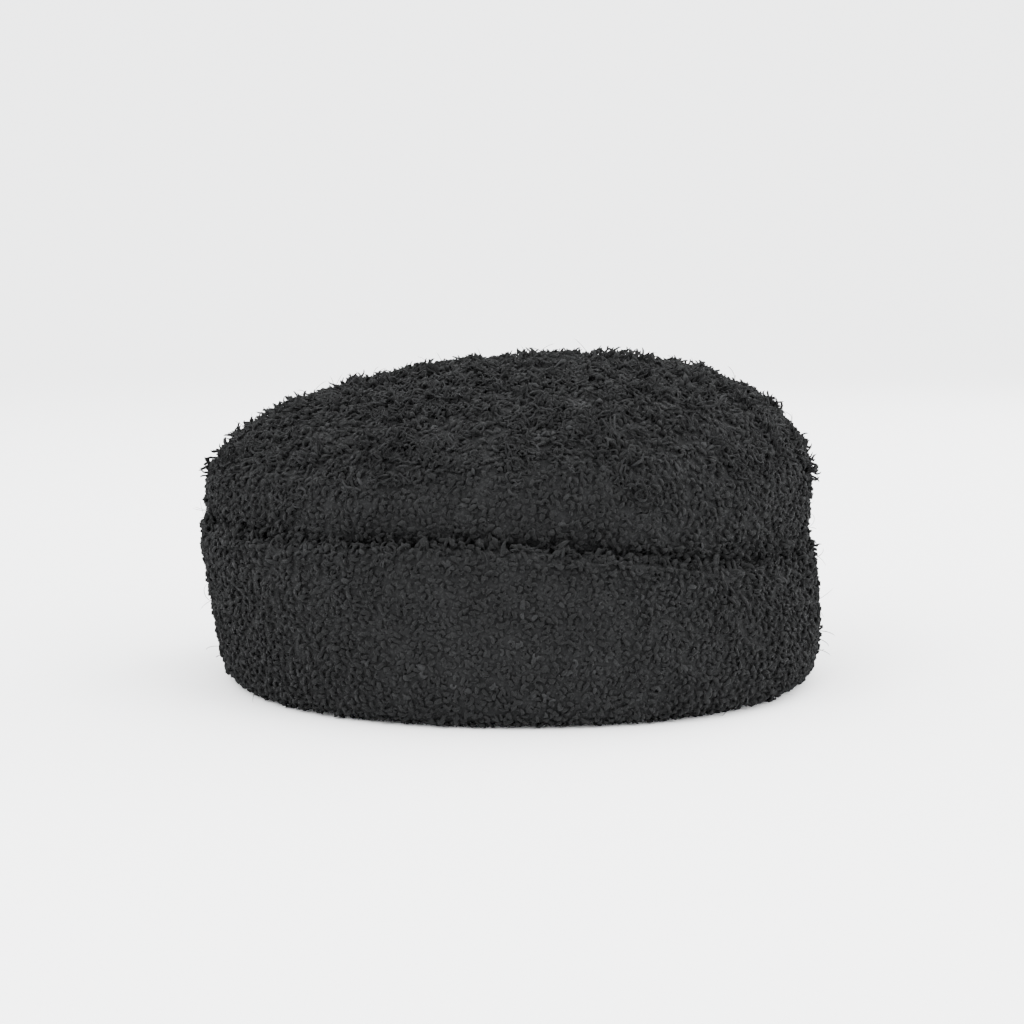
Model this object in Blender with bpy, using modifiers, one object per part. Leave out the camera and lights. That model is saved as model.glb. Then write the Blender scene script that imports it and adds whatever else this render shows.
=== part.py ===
"""A winter watch cap of thick looped-pile cloth: a puffed crown, a wide turned-up cuff and a thin lining.

Metres, +Z up. The cap stands on the fold of its cuff, with its origin at the middle of that foot.
The front of the cap looks along -Y, and the wearer's left is +X.
"""

import math

import bmesh
import bpy
from mathutils import Matrix, Vector

# The opening that takes the head, inside the lining
HEAD_WIDTH = 0.156
HEAD_LENGTH = 0.186
HEAD_SQUARENESS = 2.2

# Cloths, with their pile
PILE_CLOTH = 0.0095
LINING_CLOTH = 0.0015
SEAM_GAP = 0.0003
CUFF_GAP = 0.0006
LIP_GAP = 0.0010

# The whole cap, and how far cuff and crown stand out past the head opening
CAP_HEIGHT = 0.117
CUFF_HEIGHT = 0.062
CUFF_REACH = 0.0350
CROWN_REACH_ACROSS = 0.0350
CROWN_REACH_ALONG = 0.0280

# The foot of the cuff, where the cap rests, and the seam that joins crown and cuff inside it
SEAM_HEIGHT = 0.0140
FOOT_WIDTH = 0.0130
LINING_HEM_HEIGHT = 0.0075

# The cap sits a little crooked: its foot and its top lie to the wearer's left, and the top rises there
FOOT_LEAN = 0.0050
CROWN_LEAN = 0.0130
CROWN_SLOPE = 0.040
AROUND = 60

# The cuff is turned up unevenly, and lowest at the front on the wearer's left
# bearing, spread in degrees, share of the cuff's height
CUFF_DROOP = (
    (-42, 38, 0.21),
    (14, 42, 0.17),
    (105, 50, 0.09),
    (-125, 18, 0.05),
)

# Slow swells of the outline, in shares of the pile cloth
# turns, share, bearing
OUTLINE_SWELL = (
    (2, 0.10, 35),
    (3, 0.12, 80),
    (5, 0.07, 150),
)

# Soft dents pressed into the cap: where, how wide, and how deep in shares of the pile cloth
# bearing, height share of the cap, spread in degrees, spread in height shares, depth
DENTS = (
    (8, 0.53, 16, 0.10, 0.35),
    (-52, 0.66, 22, 0.16, 0.25),
    (-150, 0.30, 18, 0.20, 0.22),
    (118, 0.70, 26, 0.18, 0.30),
    (-130, 0.84, 60, 0.22, 0.55),
)

# The crown's wall inside the cuff, from the seam up to the swell over the cuff's edge
# rise from seam to cuff edge, spread from the wall's foot to the crown's full reach
WALL_ROWS = (
    (0.00, 0.00),
    (0.16, 0.00),
    (0.38, 0.01),
    (0.70, 0.22),
    (0.88, 0.48),
    (1.00, 0.70),
    (1.12, 0.88),
)

# The crown above the cuff
# rise from cuff edge to the top, share of the crown's full half width
DOME_ROWS = (
    (0.25, 1.000),
    (0.39, 0.988),
    (0.52, 0.940),
    (0.655, 0.858),
    (0.78, 0.738),
    (0.875, 0.590),
    (0.94, 0.425),
    (0.985, 0.220),
    (1.00, 0.000),
)

# The outer face of the cuff, from its foot to the top of its rounded edge
# height share of the cuff, share of the cuff's reach
CUFF_FACE_ROWS = (
    (0.000, 0.760),
    (0.050, 0.865),
    (0.150, 0.935),
    (0.320, 0.975),
    (0.540, 0.990),
    (0.760, 1.000),
    (0.885, 0.985),
    (0.965, 0.930),
    (1.000, 0.850),
)

# The inner face of the cuff, where it lies against the crown, from its edge down to the seam
# rise from seam to cuff edge
CUFF_BACK_RISES = (0.96, 0.88, 0.70, 0.38, 0.16)

# The rounded inner corner of the foot
# height share of the seam's height, share of the foot's inner margin
FOOT_CORNER_ROWS = (
    (0.62, 1.00),
    (0.22, 0.80),
)


def opening_radius(bearing):
    """Distance from the axis to the lining at a bearing, on a slightly square oval."""
    across = abs(math.cos(bearing)) / (HEAD_WIDTH / 2)
    along = abs(math.sin(bearing)) / (HEAD_LENGTH / 2)
    power = HEAD_SQUARENESS
    return (across**power + along**power) ** (-1 / power)


def turn_share(bearing, middle, spread):
    """How many spreads, in degrees, a bearing lies away from a middle, the shorter way round."""
    turned = (math.degrees(bearing) - middle + 180) % 360 - 180
    return turned / spread


def cuff_edge_height(bearing):
    """Height of the cuff's upper edge, which sags below its full height at each row of its table."""
    droop = sum(
        share * math.exp(-turn_share(bearing, middle, spread) ** 2)
        for middle, spread, share in CUFF_DROOP
    )
    return CUFF_HEIGHT * (1 - droop)


def wall_foot_offset():
    """How far the crown's outer face stands from the head opening at the seam."""
    return LINING_CLOTH + SEAM_GAP + PILE_CLOTH


def wall_spread(rise):
    """How far the crown's wall has spread at a rise, on straight lines between its rows."""
    for (low_rise, low_spread), (high_rise, high_spread) in zip(WALL_ROWS, WALL_ROWS[1:]):
        if rise <= high_rise:
            break
    return low_spread + (high_spread - low_spread) * (rise - low_rise) / (high_rise - low_rise)


def crown_reach(bearing):
    """How far the crown stands out past the head opening at a bearing, where it is widest."""
    return CROWN_REACH_ACROSS * math.cos(bearing) ** 2 + CROWN_REACH_ALONG * math.sin(bearing) ** 2


def crown_wall_point(bearing, rise):
    """A point of the crown's wall inside the cuff, as distance from the axis and height."""
    offset = wall_foot_offset() + wall_spread(rise) * (crown_reach(bearing) - wall_foot_offset())
    height = SEAM_HEIGHT + rise * (cuff_edge_height(bearing) - SEAM_HEIGHT)
    return opening_radius(bearing) + offset, height


def crown_face(bearing):
    """The crown's outer face at a bearing, from the seam up to the top."""
    edge = cuff_edge_height(bearing)
    full = opening_radius(bearing) + crown_reach(bearing)
    wall = [crown_wall_point(bearing, rise) for rise, _ in WALL_ROWS]
    dome = [(share * full, edge + rise * (CAP_HEIGHT - edge)) for rise, share in DOME_ROWS]
    return wall + dome


def lining_face(bearing):
    """The crown's face, run on straight down past the seam to the lining's hem."""
    face = crown_face(bearing)
    return [(face[0][0], LINING_HEM_HEIGHT)] + face


def cuff_section(bearing):
    """The turned-up cuff: a lip under the crown's seam, a flat foot, and a thick double upright."""
    opening = opening_radius(bearing)
    edge = cuff_edge_height(bearing)
    lip_inner = LINING_CLOTH + SEAM_GAP
    lip_top = SEAM_HEIGHT - LIP_GAP
    foot_outer = CUFF_FACE_ROWS[0][1] * CUFF_REACH
    foot_margin = foot_outer - FOOT_WIDTH
    outline = [(opening + lip_inner, lip_top)]
    for height_share, margin_share in FOOT_CORNER_ROWS:
        inward = foot_margin - margin_share * (foot_margin - lip_inner)
        outline.append((opening + inward, height_share * SEAM_HEIGHT))
    outline.append((opening + foot_margin, 0.0))
    for height_share, reach_share in CUFF_FACE_ROWS:
        outline.append((opening + reach_share * CUFF_REACH, height_share * edge))
    for rise in CUFF_BACK_RISES:
        radius, height = crown_wall_point(bearing, rise)
        outline.append((radius + CUFF_GAP, height - CUFF_GAP))
    outline.append((opening + wall_foot_offset() + CUFF_GAP, lip_top))
    return outline


def softness(height):
    """How freely the cap gives at a height: nothing up to the seam, and fully from the cuff's edge."""
    climbed = (height - SEAM_HEIGHT) / (CUFF_HEIGHT - SEAM_HEIGHT)
    climbed = min(max(climbed, 0.0), 1.0)
    return climbed**2 * (3 - 2 * climbed)


def softened(bearing, radius, height):
    """A point of the cap after its swells, its dents and its lean."""
    up = height / CAP_HEIGHT
    out = radius / (opening_radius(bearing) + CUFF_REACH)
    give = softness(height)
    swell = sum(
        share * math.cos(turns * (bearing - math.radians(middle)))
        for turns, share, middle in OUTLINE_SWELL
    )
    push = swell
    for middle, height_share, turn_spread, height_spread, depth in DENTS:
        turned = turn_share(bearing, middle, turn_spread)
        risen = (up - height_share) / height_spread
        push -= depth * math.exp(-(turned**2) - risen**2)
    push *= PILE_CLOTH * give * out
    radius += push
    height += push * (1 - out)
    lean = FOOT_LEAN * (1 - give) + CROWN_LEAN * up**4
    height += CROWN_SLOPE * radius * math.cos(bearing) * give * up
    return radius * math.cos(bearing) + lean, radius * math.sin(bearing), height


def cloth_material(name, colour, roughness):
    """A plain non-metal finish in one colour."""
    material = bpy.data.materials.new(name)
    material.use_nodes = True
    shader = material.node_tree.nodes["Principled BSDF"]
    shader.inputs["Base Color"].default_value = (*colour, 1.0)
    shader.inputs["Roughness"].default_value = roughness
    shader.inputs["Metallic"].default_value = 0.0
    material.diffuse_color = (*colour, 1.0)
    return material


def swept_piece(name, section, is_ring, material, collection):
    """A section carried once round the cap: a ring if it is a closed outline, otherwise an open skin."""
    rows = len(section(0.0))
    row_steps = rows if is_ring else rows - 1
    outlines = [section(2 * math.pi * column / AROUND) for column in range(AROUND)]
    mesh = bpy.data.meshes.new(name)
    work = bmesh.new()
    bmesh.ops.create_grid(work, x_segments=AROUND, y_segments=row_steps, size=1.0)
    for vertex in work.verts:
        column = round((vertex.co.x + 1) / 2 * AROUND) % AROUND
        row = round((vertex.co.y + 1) / 2 * row_steps) % rows
        bearing = 2 * math.pi * column / AROUND
        vertex.co = softened(bearing, *outlines[column][row])
    bmesh.ops.remove_doubles(work, verts=work.verts, dist=SEAM_GAP / 30)
    bmesh.ops.triangulate(work, faces=work.faces, quad_method="SHORT_EDGE")
    bmesh.ops.recalc_face_normals(work, faces=work.faces)
    work.to_mesh(mesh)
    work.free()
    mesh.materials.append(material)
    piece = bpy.data.objects.new(name, mesh)
    collection.objects.link(piece)
    mesh.shade_smooth()
    return piece


def thicken(piece, depth, cloth):
    """Sink a skin to a depth below the crown's face, then give it its cloth on the inside."""
    if depth:
        sink = piece.modifiers.new("depth", "DISPLACE")
        sink.mid_level = 0.0
        sink.strength = -depth
    wall = piece.modifiers.new("cloth", "SOLIDIFY")
    wall.thickness = cloth
    wall.offset = -1.0


def centre_in_plan(pieces):
    """Move the pieces together, so that the origin lies under the middle of the cap."""
    points = [vertex.co for piece in pieces for vertex in piece.data.vertices]
    low = Vector([min(point[axis] for point in points) for axis in range(2)])
    high = Vector([max(point[axis] for point in points) for axis in range(2)])
    middle = (low + high) / 2
    for piece in pieces:
        piece.data.transform(Matrix.Translation((-middle.x, -middle.y, 0.0)))


def main():
    for leftover in list(bpy.data.objects):
        bpy.data.objects.remove(leftover)
    collection = bpy.data.collections.new("watch_cap")
    bpy.context.scene.collection.children.link(collection)
    pile_black = cloth_material("pile_black", (0.028, 0.029, 0.032), 0.95)
    lining_black = cloth_material("lining_black", (0.020, 0.021, 0.022), 0.80)
    crown = swept_piece("crown", crown_face, False, pile_black, collection)
    thicken(crown, 0.0, PILE_CLOTH)
    cuff = swept_piece("cuff", cuff_section, True, pile_black, collection)
    lining = swept_piece("lining", lining_face, False, lining_black, collection)
    thicken(lining, PILE_CLOTH + SEAM_GAP, LINING_CLOTH)
    centre_in_plan([crown, cuff, lining])


main()
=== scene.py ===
import math
from functools import partial
from typing import NamedTuple

import bmesh
import bpy
import numpy as np
from mathutils import Matrix, Vector
from mathutils.noise import noise_vector, seed_set


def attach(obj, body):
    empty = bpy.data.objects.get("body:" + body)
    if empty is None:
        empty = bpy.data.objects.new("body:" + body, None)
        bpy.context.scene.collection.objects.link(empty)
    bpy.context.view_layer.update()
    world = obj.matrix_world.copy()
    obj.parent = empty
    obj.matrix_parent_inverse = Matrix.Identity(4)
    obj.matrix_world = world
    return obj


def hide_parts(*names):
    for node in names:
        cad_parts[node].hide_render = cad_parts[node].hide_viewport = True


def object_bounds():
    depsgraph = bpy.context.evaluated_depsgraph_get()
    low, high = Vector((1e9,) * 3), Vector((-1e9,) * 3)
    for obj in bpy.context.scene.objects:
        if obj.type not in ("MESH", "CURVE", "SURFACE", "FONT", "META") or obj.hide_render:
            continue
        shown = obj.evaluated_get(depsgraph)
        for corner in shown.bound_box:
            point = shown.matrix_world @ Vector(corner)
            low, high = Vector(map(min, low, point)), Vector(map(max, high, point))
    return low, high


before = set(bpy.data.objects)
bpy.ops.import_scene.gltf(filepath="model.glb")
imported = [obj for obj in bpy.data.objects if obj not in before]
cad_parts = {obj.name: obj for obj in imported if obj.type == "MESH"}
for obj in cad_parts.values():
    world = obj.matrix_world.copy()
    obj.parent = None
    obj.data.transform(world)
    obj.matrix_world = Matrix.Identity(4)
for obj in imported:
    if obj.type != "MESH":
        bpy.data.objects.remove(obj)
cad_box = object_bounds()


class Strand(NamedTuple):
    """A kind of strand in the pile: a small leaning helix with its root sunk in the backing."""

    coil: float
    turn_degrees: float
    rise: float
    width_share: float
    lean_degrees: float
    root_depth: float
    steps: int
    how_often: float


# All lengths are in metres

# The pile: how deep it stands on its backing cloth, and how its curls, tufts and loose fibres are spaced
PILE_DEPTH = 0.0021
CURL_SPACING = 0.00170
TUFT_SPACING = 0.0060
STRAY_SPACING = 0.020
TRIES_FOR_EACH = 7
SAME_CORNER = 0.00002

# A strand: its full width, how full it is at its ends, and the lumps that fray its outline
STRAND_WIDTH = 0.00168
STRAND_SIDES = 3
END_SHARE = 0.55
SWELL_SHARE = 0.45
LUMP_FREQUENCY = 900.0
LUMP_SHARE = 0.20

CURL_KINDS = (
    Strand(0.00084, 295, 0.0010, 0.92, 66, 0.0004, 5, 0.26),
    Strand(0.00074, 335, 0.0013, 0.90, 45, 0.0002, 6, 0.22),
    Strand(0.00098, 250, 0.0008, 0.94, 82, 0.0005, 5, 0.20),
    Strand(0.00078, 320, 0.0017, 0.86, 28, 0.0002, 6, 0.17),
    Strand(0.00112, 225, 0.0010, 0.90, 98, 0.0005, 4, 0.15),
)
CURL_HEIGHTS = (0.86, 1.14)
CURL_SIZES = (0.84, 1.22)
CURL_LEAN = 0.22
TALLEST_CURL = 2.7

# Curly locks, which stand together in frayed tufts on top of the cap
LOCK_KINDS = (
    Strand(0.00100, 270, 0.0042, 0.60, 12, 0.0004, 7, 0.40),
    Strand(0.00130, 200, 0.0037, 0.66, 22, 0.0004, 6, 0.35),
    Strand(0.00380, 85, 0.0008, 0.52, 92, 0.0004, 5, 0.25),
)
LOCKS_IN_A_TUFT = 15
LOCK_REACH = 0.0014
LOCK_HEIGHTS = (0.72, 1.10)
LOCK_SIZES = (0.85, 1.15)
LOCK_TONES = (0.2, 1.0)
LOCK_SPREAD = 0.08
LOCK_LEAN = 0.09
FRAYED_TUFT_LEAN = 0.28
FRAYED_TUFT_HEIGHT = 0.72
FRAYED_TUFT_EXTRA = 0.95

# Fine fibres that have worked loose and stand clear of the pile
STRAY_KINDS = (
    Strand(0.0060, 90, 0.0020, 0.15, 90, 0.0004, 7, 0.40),
    Strand(0.0034, 170, 0.0030, 0.14, 70, 0.0004, 9, 0.35),
    Strand(0.0110, 50, 0.0010, 0.15, 96, 0.0004, 6, 0.25),
)
STRAYS_TOGETHER = 2
STRAY_REACH = 0.0010

# Tufts: their height, and how their curls lean to the middle and shorten round it, most of all on top
TUFT_HEIGHTS = (0.85, 1.15)
TOP_EXTRA = 0.45
PROUD_EXTRA = 1.0
SIDE_GATHER = 0.20
TOP_GATHER = 0.90
TUFT_MIDDLE = 1.14
TUFT_FALL = 0.74
TUFT_RADIUS_SHARE = 0.6
TUFT_LEAN = 0.20
TUFT_TONE_SHARE = 0.35
OWN_TONE_SHARE = 0.65

# Frayed tufts: their share where the cloth faces up, which falls to none where it faces outwards
CROWN_FRAYED = 0.62
CUFF_FRAYED = 0.22
FRAYS_FROM = 0.25
FRAYS_OVER = 0.35

# The crease between the cuff's edge and the crown, where the curls grow taller
CREASE_MIDDLE = 0.002
CREASE_REACH = 0.009
CREASE_EXTRA = 0.70
SECTOR_DEGREES = 6
SECTOR_REACH = 5

# Where pile grows: how far the crown's goes down behind the cuff, and where the cuff's lip and foot are
CROWN_PILE_FOOT = -0.008
CAP_MIDDLE = 0.045
FACES_OUT = 0.1
FACES_UP = 0.5
LOWEST_LIP = 0.02
HIGHEST_FOOT = 0.012
FLOOR_GAP = 0.0004

# Seeds, so that each run gives the same cap. Without its seed, the noise behind the lumps follows the clock
LUMP_SEED = 5
GROWTH_SEED = 7
CURL_SEED = 11
TUFT_SEED = 12
STRAY_SEED = 13

# The middle of the lining's dome, from which its knit runs out to the hem
KNIT_MIDDLE = 0.02

# Sockets of a colour mix, which have no names of their own
MIX_FIRST = 6
MIX_SECOND = 7
MIX_RESULT = 2

# The studio: a sheet of pale paper, each light with its power, size and place, and the camera
PAPER_SIDE = 6.0
PAPER_FRONT = 5.0
PAPER_BACK = 2.2
PAPER_BEND = 1.2
PAPER_RISE = 4.0
LIGHTS = (
    ("key", 60.0, 1.3, (-1.0, -1.5, 1.4)),
    ("fill", 50.0, 1.5, (1.5, -1.3, 0.9)),
    ("top", 36.0, 1.6, (0.1, 0.4, 1.9)),
    ("back", 24.0, 1.0, (1.1, 1.3, 1.1)),
)
ROOM_LIGHT = 3.9
CAMERA_LENS = 85.0
CAMERA_SENSOR = 36.0
CAMERA_RISE = math.radians(6.0)
CAMERA_DISTANCE = 0.90


def principled(material):
    """The finish's own shader."""
    return material.node_tree.nodes["Principled BSDF"]


def cloth_finish(name, roughness, sheen, sheen_roughness, specular):
    """A matt cloth finish, with what is the same all over set on the shader itself."""
    material = bpy.data.materials.new(name)
    material.use_nodes = True
    shader = principled(material)
    shader.inputs["Roughness"].default_value = roughness
    shader.inputs["Metallic"].default_value = 0.0
    shader.inputs["Specular IOR Level"].default_value = specular
    shader.inputs["Sheen Weight"].default_value = sheen
    shader.inputs["Sheen Roughness"].default_value = sheen_roughness
    shader.inputs["Sheen Tint"].default_value = (0.88, 0.90, 0.91, 1.0)
    return material


def node(material, kind, sockets=None, **settings):
    """A new node in a finish, with its settings and the values of its sockets."""
    made = material.node_tree.nodes.new(kind)
    for key, value in settings.items():
        setattr(made, key, value)
    for socket, value in (sockets or {}).items():
        made.inputs[socket].default_value = value
    return made


def join(material, from_node, output, to_node, entry):
    """Run a wire between two nodes of a finish."""
    material.node_tree.links.new(from_node.outputs[output], to_node.inputs[entry])


def colour_ramp(material, *stops):
    """A colour ramp with the given stops, each a place and a colour."""
    made = node(material, "ShaderNodeValToRGB")
    elements = made.color_ramp.elements
    for index, (place, colour) in enumerate(stops):
        element = elements[index] if index < 2 else elements.new(place)
        element.position = place
        element.color = (*colour, 1.0)
    return made


def multiplied(material, first, first_output, second, second_output):
    """The product of two colours in a finish."""
    made = node(material, "ShaderNodeMix", {"Factor": 1.0}, data_type="RGBA", blend_type="MULTIPLY")
    join(material, first, first_output, made, MIX_FIRST)
    join(material, second, second_output, made, MIX_SECOND)
    return made


def pile_finish():
    """Black curls, lighter at their roots as painted fill light against the shade between them, each in its
    own tone with a sparse few lifted as painted highlights, with a fine fibre grain.
    """
    material = cloth_finish("pile_black", 1.0, 0.028, 0.50, 0.06)
    shader = principled(material)
    tip = node(material, "ShaderNodeAttribute", attribute_name="tip")
    # Painted fill light: roots and lower curls are lighter than the tips, to offset the shade that falls
    # deep between the curls
    depth = colour_ramp(
        material,
        (0.00, (0.0200, 0.0202, 0.0204)),
        (0.30, (0.0115, 0.0116, 0.0118)),
        (0.60, (0.0087, 0.0088, 0.0089)),
        (1.00, (0.0083, 0.0084, 0.0085)),
    )
    tone = node(material, "ShaderNodeAttribute", attribute_name="tone")
    # Each curl's random tone; the few at the top of the range are lightened up to 1.65 times as painted
    # highlights
    tones_with_painted_highlights = colour_ramp(
        material,
        (0.00, (0.86, 0.86, 0.87)),
        (0.78, (0.96, 0.96, 0.96)),
        (0.92, (1.65, 1.66, 1.68)),
    )
    place = node(material, "ShaderNodeTexCoord")
    clouds = node(material, "ShaderNodeTexNoise", {"Scale": 34.0, "Detail": 2.0})
    clouds_between = {"From Min": 0.3, "From Max": 0.7, "To Min": 0.88, "To Max": 1.0}
    cloud_range = node(material, "ShaderNodeMapRange", clouds_between)
    grain = node(material, "ShaderNodeTexNoise", {"Scale": 2600.0, "Detail": 3.0, "Roughness": 0.65})
    fibres = node(material, "ShaderNodeBump", {"Strength": 0.9, "Distance": 0.0006})
    join(material, tip, "Fac", depth, "Fac")
    join(material, tone, "Fac", tones_with_painted_highlights, "Fac")
    # Painted fill light at the roots, times each curl's tone with its painted highlights
    painted_fill_and_tone = multiplied(material, depth, "Color", tones_with_painted_highlights, "Color")
    join(material, place, "Object", clouds, "Vector")
    join(material, clouds, "Fac", cloud_range, "Value")
    clouded = multiplied(material, painted_fill_and_tone, MIX_RESULT, cloud_range, "Result")
    join(material, clouded, MIX_RESULT, shader, "Base Color")
    join(material, place, "Object", grain, "Vector")
    join(material, grain, "Fac", fibres, "Height")
    join(material, fibres, "Normal", shader, "Normal")
    return material


def backing_finish():
    """The knitted ground that the curls grow from: near black, with a crumbly loop texture, its colour
    raised to about that of the curls' tips as painted fill light in the shaded gaps.
    """
    material = cloth_finish("pile_backing", 1.0, 0.0, 0.5, 0.08)
    shader = principled(material)
    place = node(material, "ShaderNodeTexCoord")
    loops = node(material, "ShaderNodeTexVoronoi", {"Scale": 800.0})
    # Painted fill light: the ground is about as light as the curls' tips, lighter at its loops' middles, to
    # offset the shade in the gaps; the loop pattern is the knit's own
    shade = colour_ramp(
        material,
        (0.05, (0.0130, 0.0132, 0.0134)),
        (0.60, (0.0076, 0.0077, 0.0079)),
    )
    bump = node(material, "ShaderNodeBump", {"Strength": 0.8, "Distance": 0.0008}, invert=True)
    join(material, place, "Object", loops, "Vector")
    join(material, loops, "Distance", shade, "Fac")
    join(material, shade, "Color", shader, "Base Color")
    join(material, loops, "Distance", bump, "Height")
    join(material, bump, "Normal", shader, "Normal")
    return material


def knit_waves(material, scale, direction):
    """Close, slightly wandering waves that run one way over a knit."""
    waves = {"Scale": scale, "Distortion": 0.8, "Detail Scale": 12.0}
    return node(material, "ShaderNodeTexWave", waves, wave_profile="SIN", bands_direction=direction)


def lining_finish():
    """Smooth jersey with fine wales from the hem to the top, and slack wrinkles."""
    material = cloth_finish("lining_black", 0.78, 0.05, 0.40, 0.18)
    shader = principled(material)
    knit = node(material, "ShaderNodeUVMap", uv_map="knit")
    wales = knit_waves(material, 22.0, "X")
    courses = knit_waves(material, 34.0, "Y")
    stitch = node(material, "ShaderNodeMath", operation="MULTIPLY")
    shade = colour_ramp(
        material,
        (0.0, (0.0080, 0.0080, 0.0082)),
        (1.0, (0.0135, 0.0137, 0.0141)),
    )
    loops = node(material, "ShaderNodeBump", {"Strength": 0.45, "Distance": 0.0005})
    place = node(material, "ShaderNodeTexCoord")
    slack = node(material, "ShaderNodeTexNoise", {"Scale": 26.0, "Detail": 2.0, "Distortion": 1.2})
    wrinkles = node(material, "ShaderNodeBump", {"Strength": 0.6, "Distance": 0.006})
    join(material, knit, "UV", wales, "Vector")
    join(material, knit, "UV", courses, "Vector")
    join(material, wales, "Fac", stitch, 0)
    join(material, courses, "Fac", stitch, 1)
    join(material, stitch, "Value", shade, "Fac")
    join(material, shade, "Color", shader, "Base Color")
    join(material, place, "Object", slack, "Vector")
    join(material, slack, "Fac", wrinkles, "Height")
    join(material, stitch, "Value", loops, "Height")
    join(material, wrinkles, "Normal", loops, "Normal")
    join(material, loops, "Normal", shader, "Normal")
    return material


def place_piece(name, mesh, slot, *replaced):
    """Put a finished mesh into the cap, riding on its one body."""
    piece = bpy.data.objects.new(name, mesh)
    bpy.context.scene.collection.objects.link(piece)
    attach(piece, "root")
    if replaced:
        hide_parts(*replaced)
    return piece


def points_of(mesh):
    """A mesh's vertices as an array of places."""
    places = np.empty(len(mesh.vertices) * 3)
    mesh.vertices.foreach_get("co", places)
    return places.reshape(-1, 3)


def bearing_of(points):
    """How far round the cap each point lies, in degrees."""
    return np.degrees(np.arctan2(points[:, 1], points[:, 0]))


def quarters(points):
    """Which quarter of the cap each point lies in: left, back, right or front."""
    return np.floor(((bearing_of(points) + 45) % 360) / 90).astype(int)


def cuff_edge():
    """The height of the cuff's upper edge all round, as rows of bearings and heights."""
    points = points_of(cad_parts["cuff"].data)
    bearings = bearing_of(points)
    sectors = np.arange(-180, 181, SECTOR_DEGREES)
    heights = [
        points[np.abs((bearings - sector + 180) % 360 - 180) < SECTOR_REACH, 2].max()
        for sector in sectors
    ]
    return sectors, np.array(heights)


def above_edge(points, edge):
    """How far each point lies above the cuff's edge."""
    return points[:, 2] - np.interp(bearing_of(points), *edge)


def near_crease(points, edge):
    """How near each point lies to the crease between the cuff's edge and the crown, from 0 to 1."""
    return np.clip(1 - np.abs(above_edge(points, edge) - CREASE_MIDDLE) / CREASE_REACH, 0, 1)


def crown_shows(edge, middle, facing):
    """Which faces of the crown carry pile: its outside, down into the crease."""
    above = above_edge(middle, edge) > CROWN_PILE_FOOT
    outward = (facing * (middle - np.array((0, 0, CAP_MIDDLE)))).sum(1) > 0
    return above & outward


def cuff_shows(middle, facing):
    """Which faces of the cuff carry pile: its outside, its lip and the foot of its fold."""
    radial = middle[:, :2] / np.linalg.norm(middle[:, :2], axis=1, keepdims=True)
    outward = (facing[:, :2] * radial).sum(1) > FACES_OUT
    lip = (facing[:, 2] > FACES_UP) & (middle[:, 2] > LOWEST_LIP)
    foot = (facing[:, 2] < -FACES_UP) & (middle[:, 2] < HIGHEST_FOOT)
    return outward | lip | foot


def drawn_in(name, part, depth, edge=None):
    """A merged copy of a CAD piece's mesh, drawn in square to its faces, though less at the crease."""
    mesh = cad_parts[part].data.copy()
    mesh.name = name
    mesh.materials.clear()
    work = bmesh.new()
    work.from_mesh(mesh)
    bmesh.ops.remove_doubles(work, verts=work.verts, dist=SAME_CORNER)
    work.normal_update()
    normals = [vertex.normal.copy() for vertex in work.verts]
    depths = np.full(len(normals), depth)
    if edge is not None:
        depths *= 1 - near_crease(np.array([vertex.co for vertex in work.verts]), edge)
    for vertex, normal, inward in zip(work.verts, normals, depths):
        vertex.co -= normal * inward
    work.to_mesh(mesh)
    work.free()
    mesh.shade_smooth()
    return mesh


def strand_share(along):
    """How full a strand is along its length: it swells from its root and thins to its tip."""
    swell = END_SHARE + SWELL_SHARE * math.sin(math.pi / 2 * min(along / 0.5, 1.0))
    return swell - SWELL_SHARE * max(along - 0.5, 0.0) / 0.5


def middle_of(vertices):
    """The mean place of some vertices."""
    return sum((vertex.co for vertex in vertices), Vector()) / len(vertices)


def strand_mesh(kind):
    """One strand: a small round spun along a helix, closed to a point at its root and its tip."""
    width = kind.width_share * STRAND_WIDTH
    work = bmesh.new()
    bmesh.ops.create_circle(work, segments=STRAND_SIDES, radius=width / 2)
    upright = Matrix.Rotation(math.pi / 2, 3, "X")
    bmesh.ops.rotate(work, verts=work.verts, cent=(0, 0, 0), matrix=upright)
    bmesh.ops.translate(work, verts=work.verts, vec=(kind.coil, 0, 0))
    bmesh.ops.spin(
        work,
        geom=work.verts[:] + work.edges[:],
        cent=(0, 0, 0),
        axis=(0, 0, 1),
        dvec=(0, 0, kind.rise / kind.steps),
        angle=math.radians(kind.turn_degrees),
        steps=kind.steps,
        use_merge=False,
    )
    work.verts.ensure_lookup_table()
    starts = [index * STRAND_SIDES for index in range(kind.steps + 1)]
    rings = [work.verts[start:start + STRAND_SIDES] for start in starts]
    for index, ring in enumerate(rings[1:-1], 1):
        share = strand_share(index / kind.steps)
        home = Matrix.Translation(-middle_of(ring))
        bmesh.ops.scale(work, verts=ring, vec=(share, share, share), space=home)
    tilt = Matrix.Rotation(math.radians(kind.lean_degrees), 3, "X")
    bmesh.ops.rotate(work, verts=work.verts, cent=(0, 0, 0), matrix=tilt)
    foot = min((middle_of(ring) for ring in rings), key=lambda middle: middle.z)
    for ring in (rings[0], rings[-1]):
        bmesh.ops.pointmerge(work, verts=ring, merge_co=middle_of(ring))
    to_root = (-foot.x, -foot.y, -foot.z - kind.root_depth)
    bmesh.ops.translate(work, verts=work.verts, vec=to_root)
    for vertex in work.verts:
        vertex.co += noise_vector(vertex.co * LUMP_FREQUENCY) * width * LUMP_SHARE
    bmesh.ops.recalc_face_normals(work, faces=work.faces)
    bmesh.ops.triangulate(work, faces=work.faces)
    work.verts.index_update()
    points = np.array([vertex.co for vertex in work.verts])
    corners = np.array([[vertex.index for vertex in face.verts] for face in work.faces])
    work.free()
    return points, corners


def made_strands(table):
    """Each kind of strand in a table: how often it grows, its points and its triangles."""
    return [(kind.how_often, *strand_mesh(kind)) for kind in table]


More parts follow.
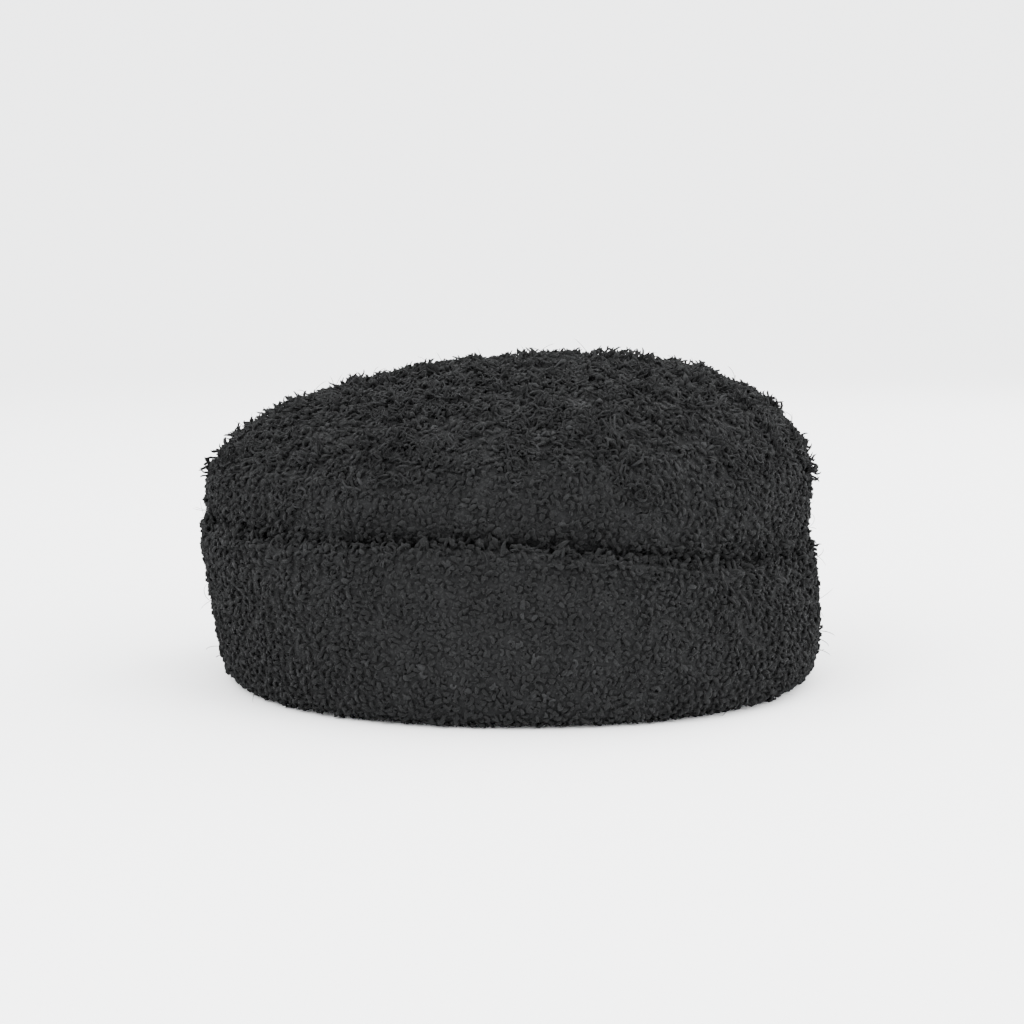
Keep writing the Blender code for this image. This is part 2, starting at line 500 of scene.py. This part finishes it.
def scattered(mesh, wanted, spacing, seed):
    """Random points on the faces of a mesh that are wanted, far more than fit, with their normals."""
    count = len(mesh.polygons)
    corners = np.empty(count * 3, int)
    mesh.polygons.foreach_get("vertices", corners)
    corners = corners.reshape(-1, 3)
    points = points_of(mesh)
    normals = np.empty(len(mesh.vertices) * 3)
    mesh.vertices.foreach_get("normal", normals)
    normals = normals.reshape(-1, 3)
    a, b, c = (points[corners[:, index]] for index in range(3))
    cross = np.cross(b - a, c - a)
    area = np.linalg.norm(cross, axis=1) / 2
    facing = cross / np.maximum(area[:, None] * 2, 1e-15)
    area = np.where(wanted((a + b + c) / 3, facing), area, 0.0)
    rng = np.random.default_rng(seed)
    tries = int(area.sum() / spacing**2 * TRIES_FOR_EACH)
    chosen = rng.choice(count, tries, p=area / area.sum())
    u, v = rng.random(tries), rng.random(tries)
    over = u + v > 1
    u, v = np.where(over, 1 - u, u)[:, None], np.where(over, 1 - v, v)[:, None]
    ids = corners[chosen]
    place = points[ids[:, 0]] * (1 - u - v) + points[ids[:, 1]] * u + points[ids[:, 2]] * v
    normal = normals[ids[:, 0]] * (1 - u - v) + normals[ids[:, 1]] * u + normals[ids[:, 2]] * v
    return place, normal / np.linalg.norm(normal, axis=1, keepdims=True)


def spaced_rows(place, spacing):
    """Which points to keep so that no two of them lie nearer than the spacing."""
    cells = {}
    taken = []
    keys = np.floor(place / spacing).astype(int)
    around = [(i, j, k) for i in (-1, 0, 1) for j in (-1, 0, 1) for k in (-1, 0, 1)]
    limit = spacing**2
    for index, ((i, j, k), (x, y, z)) in enumerate(zip(keys, place)):
        crowded = any(
            (ox - x) ** 2 + (oy - y) ** 2 + (oz - z) ** 2 < limit
            for di, dj, dk in around
            for ox, oy, oz in cells.get((i + di, j + dj, k + dk), ())
        )
        if not crowded:
            cells.setdefault((i, j, k), []).append((x, y, z))
            taken.append(index)
    return taken


def surface_samples(mesh, wanted, spacing, seed):
    """Points spread evenly over the faces of a mesh that are wanted, with their normals."""
    place, normal = scattered(mesh, wanted, spacing, seed)
    taken = spaced_rows(place, spacing)
    return place[taken], normal[taken]


def nearest_rows(points, targets, batch=2000):
    """For each point, which target lies nearest."""
    found = np.empty(len(points), int)
    for start in range(0, len(points), batch):
        part = points[start:start + batch]
        gap = (part**2).sum(1)[:, None] - 2 * part @ targets.T + (targets**2).sum(1)[None, :]
        found[start:start + batch] = gap.argmin(1)
    return found


def mesh_from_arrays(name, points, corners, attributes, material):
    """A smooth mesh from arrays of points and triangles, with its named point values."""
    mesh = bpy.data.meshes.new(name)
    mesh.vertices.add(len(points))
    mesh.vertices.foreach_set("co", points.astype(np.float32).ravel())
    mesh.loops.add(corners.size)
    mesh.loops.foreach_set("vertex_index", corners.astype(np.int32).ravel())
    mesh.polygons.add(len(corners))
    mesh.polygons.foreach_set("loop_start", np.arange(0, corners.size, 3, dtype=np.int32))
    for key, values in attributes.items():
        layer = mesh.attributes.new(key, "FLOAT", "POINT")
        layer.data.foreach_set("value", values.astype(np.float32))
    mesh.materials.append(material)
    mesh.update(calc_edges=True)
    mesh.shade_smooth()
    return mesh


def set_out(strands, kinds, place, normal, lean, size, height, tone, rng):
    """Each strand of its kind on its own root. Returns points, triangles, tips and tones."""
    count = len(place)
    side = np.cross(normal, rng.normal(0, 1, (count, 3)))
    side /= np.linalg.norm(side, axis=1, keepdims=True)
    across = np.cross(normal, side)
    up = normal + lean
    parts = []
    total = 0
    for kind, (_, points, corners) in enumerate(strands):
        rows = np.flatnonzero(kinds == kind)
        turned = rng.choice((-1.0, 1.0), len(rows))
        local_x = points[None, :, 0] * size[rows, None]
        local_y = points[None, :, 1] * (size[rows] * turned)[:, None]
        local_z = points[None, :, 2] * height[rows, None]
        world = (
            place[rows, None, :]
            + side[rows, None, :] * local_x[:, :, None]
            + across[rows, None, :] * local_y[:, :, None]
            + up[rows, None, :] * local_z[:, :, None]
        )
        faces = np.broadcast_to(corners[None], (len(rows), *corners.shape)).copy()
        faces[turned < 0] = faces[turned < 0][:, :, ::-1]
        faces += total + (np.arange(len(rows)) * len(points))[:, None, None]
        total += len(rows) * len(points)
        # How high each point stands on its strand; the pile finish paints fill light at the low end
        tips = np.clip(local_z / (PILE_DEPTH * 1.3), 0, 1)
        tones = np.repeat(tone[rows], len(points))
        parts.append((world.reshape(-1, 3), faces.reshape(-1, 3), tips.ravel(), tones))
    return [np.concatenate(columns) for columns in zip(*parts)]


def drawn_kinds(strands, count, rng):
    """A kind for each strand, as often as its table says."""
    shares = np.array([how_often for how_often, _, _ in strands])
    return rng.choice(len(strands), count, p=shares / shares.sum())


def along_surface(vectors, normal):
    """What is left of some vectors when their part along the normal is taken away."""
    return vectors - normal * (vectors * normal).sum(1, keepdims=True)


def grown_curls(place, normal, tufts, tuft_height, gathered, extra, curls, rng):
    """The curly pile, gathered into tufts that stand a little higher at their middles."""
    count = len(place)
    tuft_of = nearest_rows(place, tufts)
    reach = along_surface(tufts[tuft_of] - place, normal) / TUFT_SPACING
    away = np.minimum(np.linalg.norm(reach, axis=1) / TUFT_RADIUS_SHARE, 1.0)
    gather = gathered[tuft_of]
    height = tuft_height[tuft_of] * (TUFT_MIDDLE - TUFT_FALL * gather * away**2) * extra
    height = np.minimum(height, TALLEST_CURL) * rng.uniform(*CURL_HEIGHTS, count)
    tuft_lean = rng.normal(0, TUFT_LEAN, (len(tufts), 3))[tuft_of]
    own_lean = rng.normal(0, CURL_LEAN, (count, 3))
    lean = along_surface(reach * gather[:, None] + tuft_lean + own_lean, normal)
    tuft_tone = rng.uniform(0, 1, len(tufts))[tuft_of]
    tone = TUFT_TONE_SHARE * tuft_tone + OWN_TONE_SHARE * rng.uniform(0, 1, count)
    kinds = drawn_kinds(curls, count, rng)
    size = rng.uniform(*CURL_SIZES, count)
    return set_out(curls, kinds, place, normal, lean, size, height, tone, rng)


def grown_locks(tufts, normal, each, reach, tuft_height, locks, rng):
    """Curly locks or loose fibres that spread from the middle of each tuft."""
    count = len(tufts) * each
    tuft_of = np.repeat(np.arange(len(tufts)), each)
    normal = normal[tuft_of]
    spread = along_surface(rng.normal(0, 1, (count, 3)), normal)
    place = tufts[tuft_of] + spread * reach
    tuft_lean = rng.normal(0, FRAYED_TUFT_LEAN, (len(tufts), 3))[tuft_of]
    own_lean = rng.normal(0, LOCK_LEAN, (count, 3))
    lean = along_surface(tuft_lean + spread * LOCK_SPREAD + own_lean, normal)
    height = tuft_height[tuft_of] * rng.uniform(*LOCK_HEIGHTS, count)
    tone = rng.uniform(*LOCK_TONES, count)
    kinds = drawn_kinds(locks, count, rng)
    size = rng.uniform(*LOCK_SIZES, count)
    return set_out(locks, kinds, place, normal, lean, size, height, tone, rng)


def joined_arrays(first, second):
    """Two lots of points, triangles, tips and tones as one."""
    shifted = [second[0], second[1] + len(first[0]), second[2], second[3]]
    return [np.concatenate(pair) for pair in zip(first, shifted)]


def grow_pile(part, mesh, shows, frayed_share, edge, finish, strands, rng):
    """Grow the pile of a part on its backing, as a piece for each quarter of the cap."""
    curls, locks, strays = strands
    place, normal = surface_samples(mesh, shows, CURL_SPACING, CURL_SEED)
    tufts, tuft_normal = surface_samples(mesh, shows, TUFT_SPACING, TUFT_SEED)
    loose, loose_normal = surface_samples(mesh, shows, STRAY_SPACING, STRAY_SEED)
    upward = np.clip(tuft_normal[:, 2], 0, 1)
    proud = rng.random(len(tufts)) ** 2
    tuft_height = rng.uniform(*TUFT_HEIGHTS, len(tufts)) + (TOP_EXTRA + PROUD_EXTRA * proud) * upward
    gathered = SIDE_GATHER + TOP_GATHER * upward**1.5
    frays = rng.random(len(tufts)) < frayed_share * np.clip((upward - FRAYS_FROM) / FRAYS_OVER, 0, 1)
    frayed_height = FRAYED_TUFT_HEIGHT + FRAYED_TUFT_EXTRA * proud
    stray_height = np.ones(len(loose))
    for index, side_name in enumerate(("left", "back", "right", "front")):
        rows = quarters(place) == index
        frayed = frays & (quarters(tufts) == index)
        stray = quarters(loose) == index
        extra = 1.0 + CREASE_EXTRA * near_crease(place[rows], edge)
        grown = grown_curls(place[rows], normal[rows], tufts, tuft_height, gathered, extra, curls, rng)
        for roots, facing, height, each, reach, kinds in (
            (tufts[frayed], tuft_normal[frayed], frayed_height[frayed], LOCKS_IN_A_TUFT, LOCK_REACH, locks),
            (loose[stray], loose_normal[stray], stray_height[stray], STRAYS_TOGETHER, STRAY_REACH, strays),
        ):
            grown = joined_arrays(grown, grown_locks(roots, facing, each, reach, height, kinds, rng))
        points, corners, tips, tones = grown
        # The floor presses the curls under the cap's foot flat
        points[:, 2] = np.maximum(points[:, 2], FLOOR_GAP)
        piece = f"{part}_pile_{side_name}"
        made = mesh_from_arrays(piece, points, corners, {"tip": tips, "tone": tones}, finish)
        place_piece(piece, made, "pile_black")


def fit_lining():
    """The lining, smoothed, with its knit laid out from the middle of its dome to the hem."""
    mesh = drawn_in("lining_cloth", "lining", 0.0)
    knit = mesh.uv_layers.new(name="knit")
    for loop in mesh.loops:
        x, y, z = mesh.vertices[loop.vertex_index].co
        from_top = math.atan2(math.hypot(x, y), z - KNIT_MIDDLE)
        knit.data[loop.index].uv = (math.atan2(y, x), from_top)
    mesh.materials.append(lining_finish())
    piece = place_piece("lining_cloth", mesh, "lining_black", "lining")
    finish = piece.modifiers.new("round", "SUBSURF")
    finish.levels = 1
    finish.render_levels = 1


def floor_and_backdrop(material):
    """One pale sheet: a floor that turns up into a wall behind the cap."""
    work = bmesh.new()
    start = work.verts.new((-PAPER_SIDE, -PAPER_FRONT, 0.0))
    made = bmesh.ops.extrude_vert_indiv(work, verts=[start])
    corner = made["verts"][0]
    corner.co = (-PAPER_SIDE, PAPER_BACK, 0.0)
    bend = bmesh.ops.spin(
        work,
        geom=[corner],
        cent=(-PAPER_SIDE, PAPER_BACK, PAPER_BEND),
        axis=(1, 0, 0),
        angle=math.pi / 2,
        steps=16,
        use_merge=False,
    )
    top = [item for item in bend["geom_last"] if isinstance(item, bmesh.types.BMVert)]
    rise = bmesh.ops.extrude_vert_indiv(work, verts=top)
    bmesh.ops.translate(work, verts=rise["verts"], vec=(0, 0, PAPER_RISE))
    wide = bmesh.ops.extrude_edge_only(work, edges=work.edges[:])
    moved = [item for item in wide["geom"] if isinstance(item, bmesh.types.BMVert)]
    bmesh.ops.translate(work, verts=moved, vec=(2 * PAPER_SIDE, 0, 0))
    bmesh.ops.recalc_face_normals(work, faces=work.faces)
    mesh = bpy.data.meshes.new("floor")
    work.to_mesh(mesh)
    work.free()
    mesh.materials.append(material)
    mesh.shade_smooth()
    floor = bpy.data.objects.new("floor", mesh)
    bpy.context.scene.collection.objects.link(floor)


def turned_to(thing, place, target):
    """Set something at a place, looking at a point."""
    direction = Vector(place) - Vector(target)
    thing.location = place
    thing.rotation_euler = direction.to_track_quat("Z", "Y").to_euler()


def soft_light(name, power, size, place, target):
    """A square studio light that faces a point."""
    lamp = bpy.data.lights.new(name, "AREA")
    lamp.energy = power
    lamp.shape = "SQUARE"
    lamp.size = size
    light = bpy.data.objects.new(name, lamp)
    bpy.context.scene.collection.objects.link(light)
    turned_to(light, place, target)


def studio(low, high):
    """Floor, lights and the camera, which looks at the front of the cap from just above the floor."""
    paper = bpy.data.materials.new("pale_paper")
    paper.use_nodes = True
    principled(paper).inputs["Base Color"].default_value = (0.93, 0.93, 0.93, 1.0)
    principled(paper).inputs["Roughness"].default_value = 0.9
    floor_and_backdrop(paper)
    middle = [(a + b) / 2 for a, b in zip(low, high)]
    for name, power, size, place in LIGHTS:
        soft_light(name, power, size, place, middle)
    world = bpy.data.worlds.new("studio")
    world.use_nodes = True
    world.node_tree.nodes["Background"].inputs["Color"].default_value = (0.95, 0.96, 0.97, 1.0)
    world.node_tree.nodes["Background"].inputs["Strength"].default_value = ROOM_LIGHT
    bpy.context.scene.world = world
    lens = bpy.data.cameras.new("camera")
    lens.lens = CAMERA_LENS
    lens.sensor_width = CAMERA_SENSOR
    camera = bpy.data.objects.new("camera", lens)
    bpy.context.scene.collection.objects.link(camera)
    bpy.context.scene.camera = camera
    back = CAMERA_DISTANCE * math.cos(CAMERA_RISE)
    up = CAMERA_DISTANCE * math.sin(CAMERA_RISE)
    turned_to(camera, (middle[0], middle[1] - back, middle[2] + up), middle)


def main():
    pile = pile_finish()
    backing = backing_finish()
    studio(*cad_box)

    edge = cuff_edge()
    crown_skin = drawn_in("crown_backing", "crown", PILE_DEPTH, edge)
    cuff_skin = drawn_in("cuff_backing", "cuff", PILE_DEPTH, edge)
    for mesh in (crown_skin, cuff_skin):
        mesh.materials.append(backing)
    place_piece("crown_backing", crown_skin, "pile_black", "crown")
    place_piece("cuff_backing", cuff_skin, "pile_black", "cuff")

    seed_set(LUMP_SEED)
    strands = [made_strands(table) for table in (CURL_KINDS, LOCK_KINDS, STRAY_KINDS)]
    rng = np.random.default_rng(GROWTH_SEED)
    for part, mesh, shows, frayed_share in (
        ("crown", crown_skin, partial(crown_shows, edge), CROWN_FRAYED),
        ("cuff", cuff_skin, cuff_shows, CUFF_FRAYED),
    ):
        grow_pile(part, mesh, shows, frayed_share, edge, pile, strands, rng)
    fit_lining()


main()
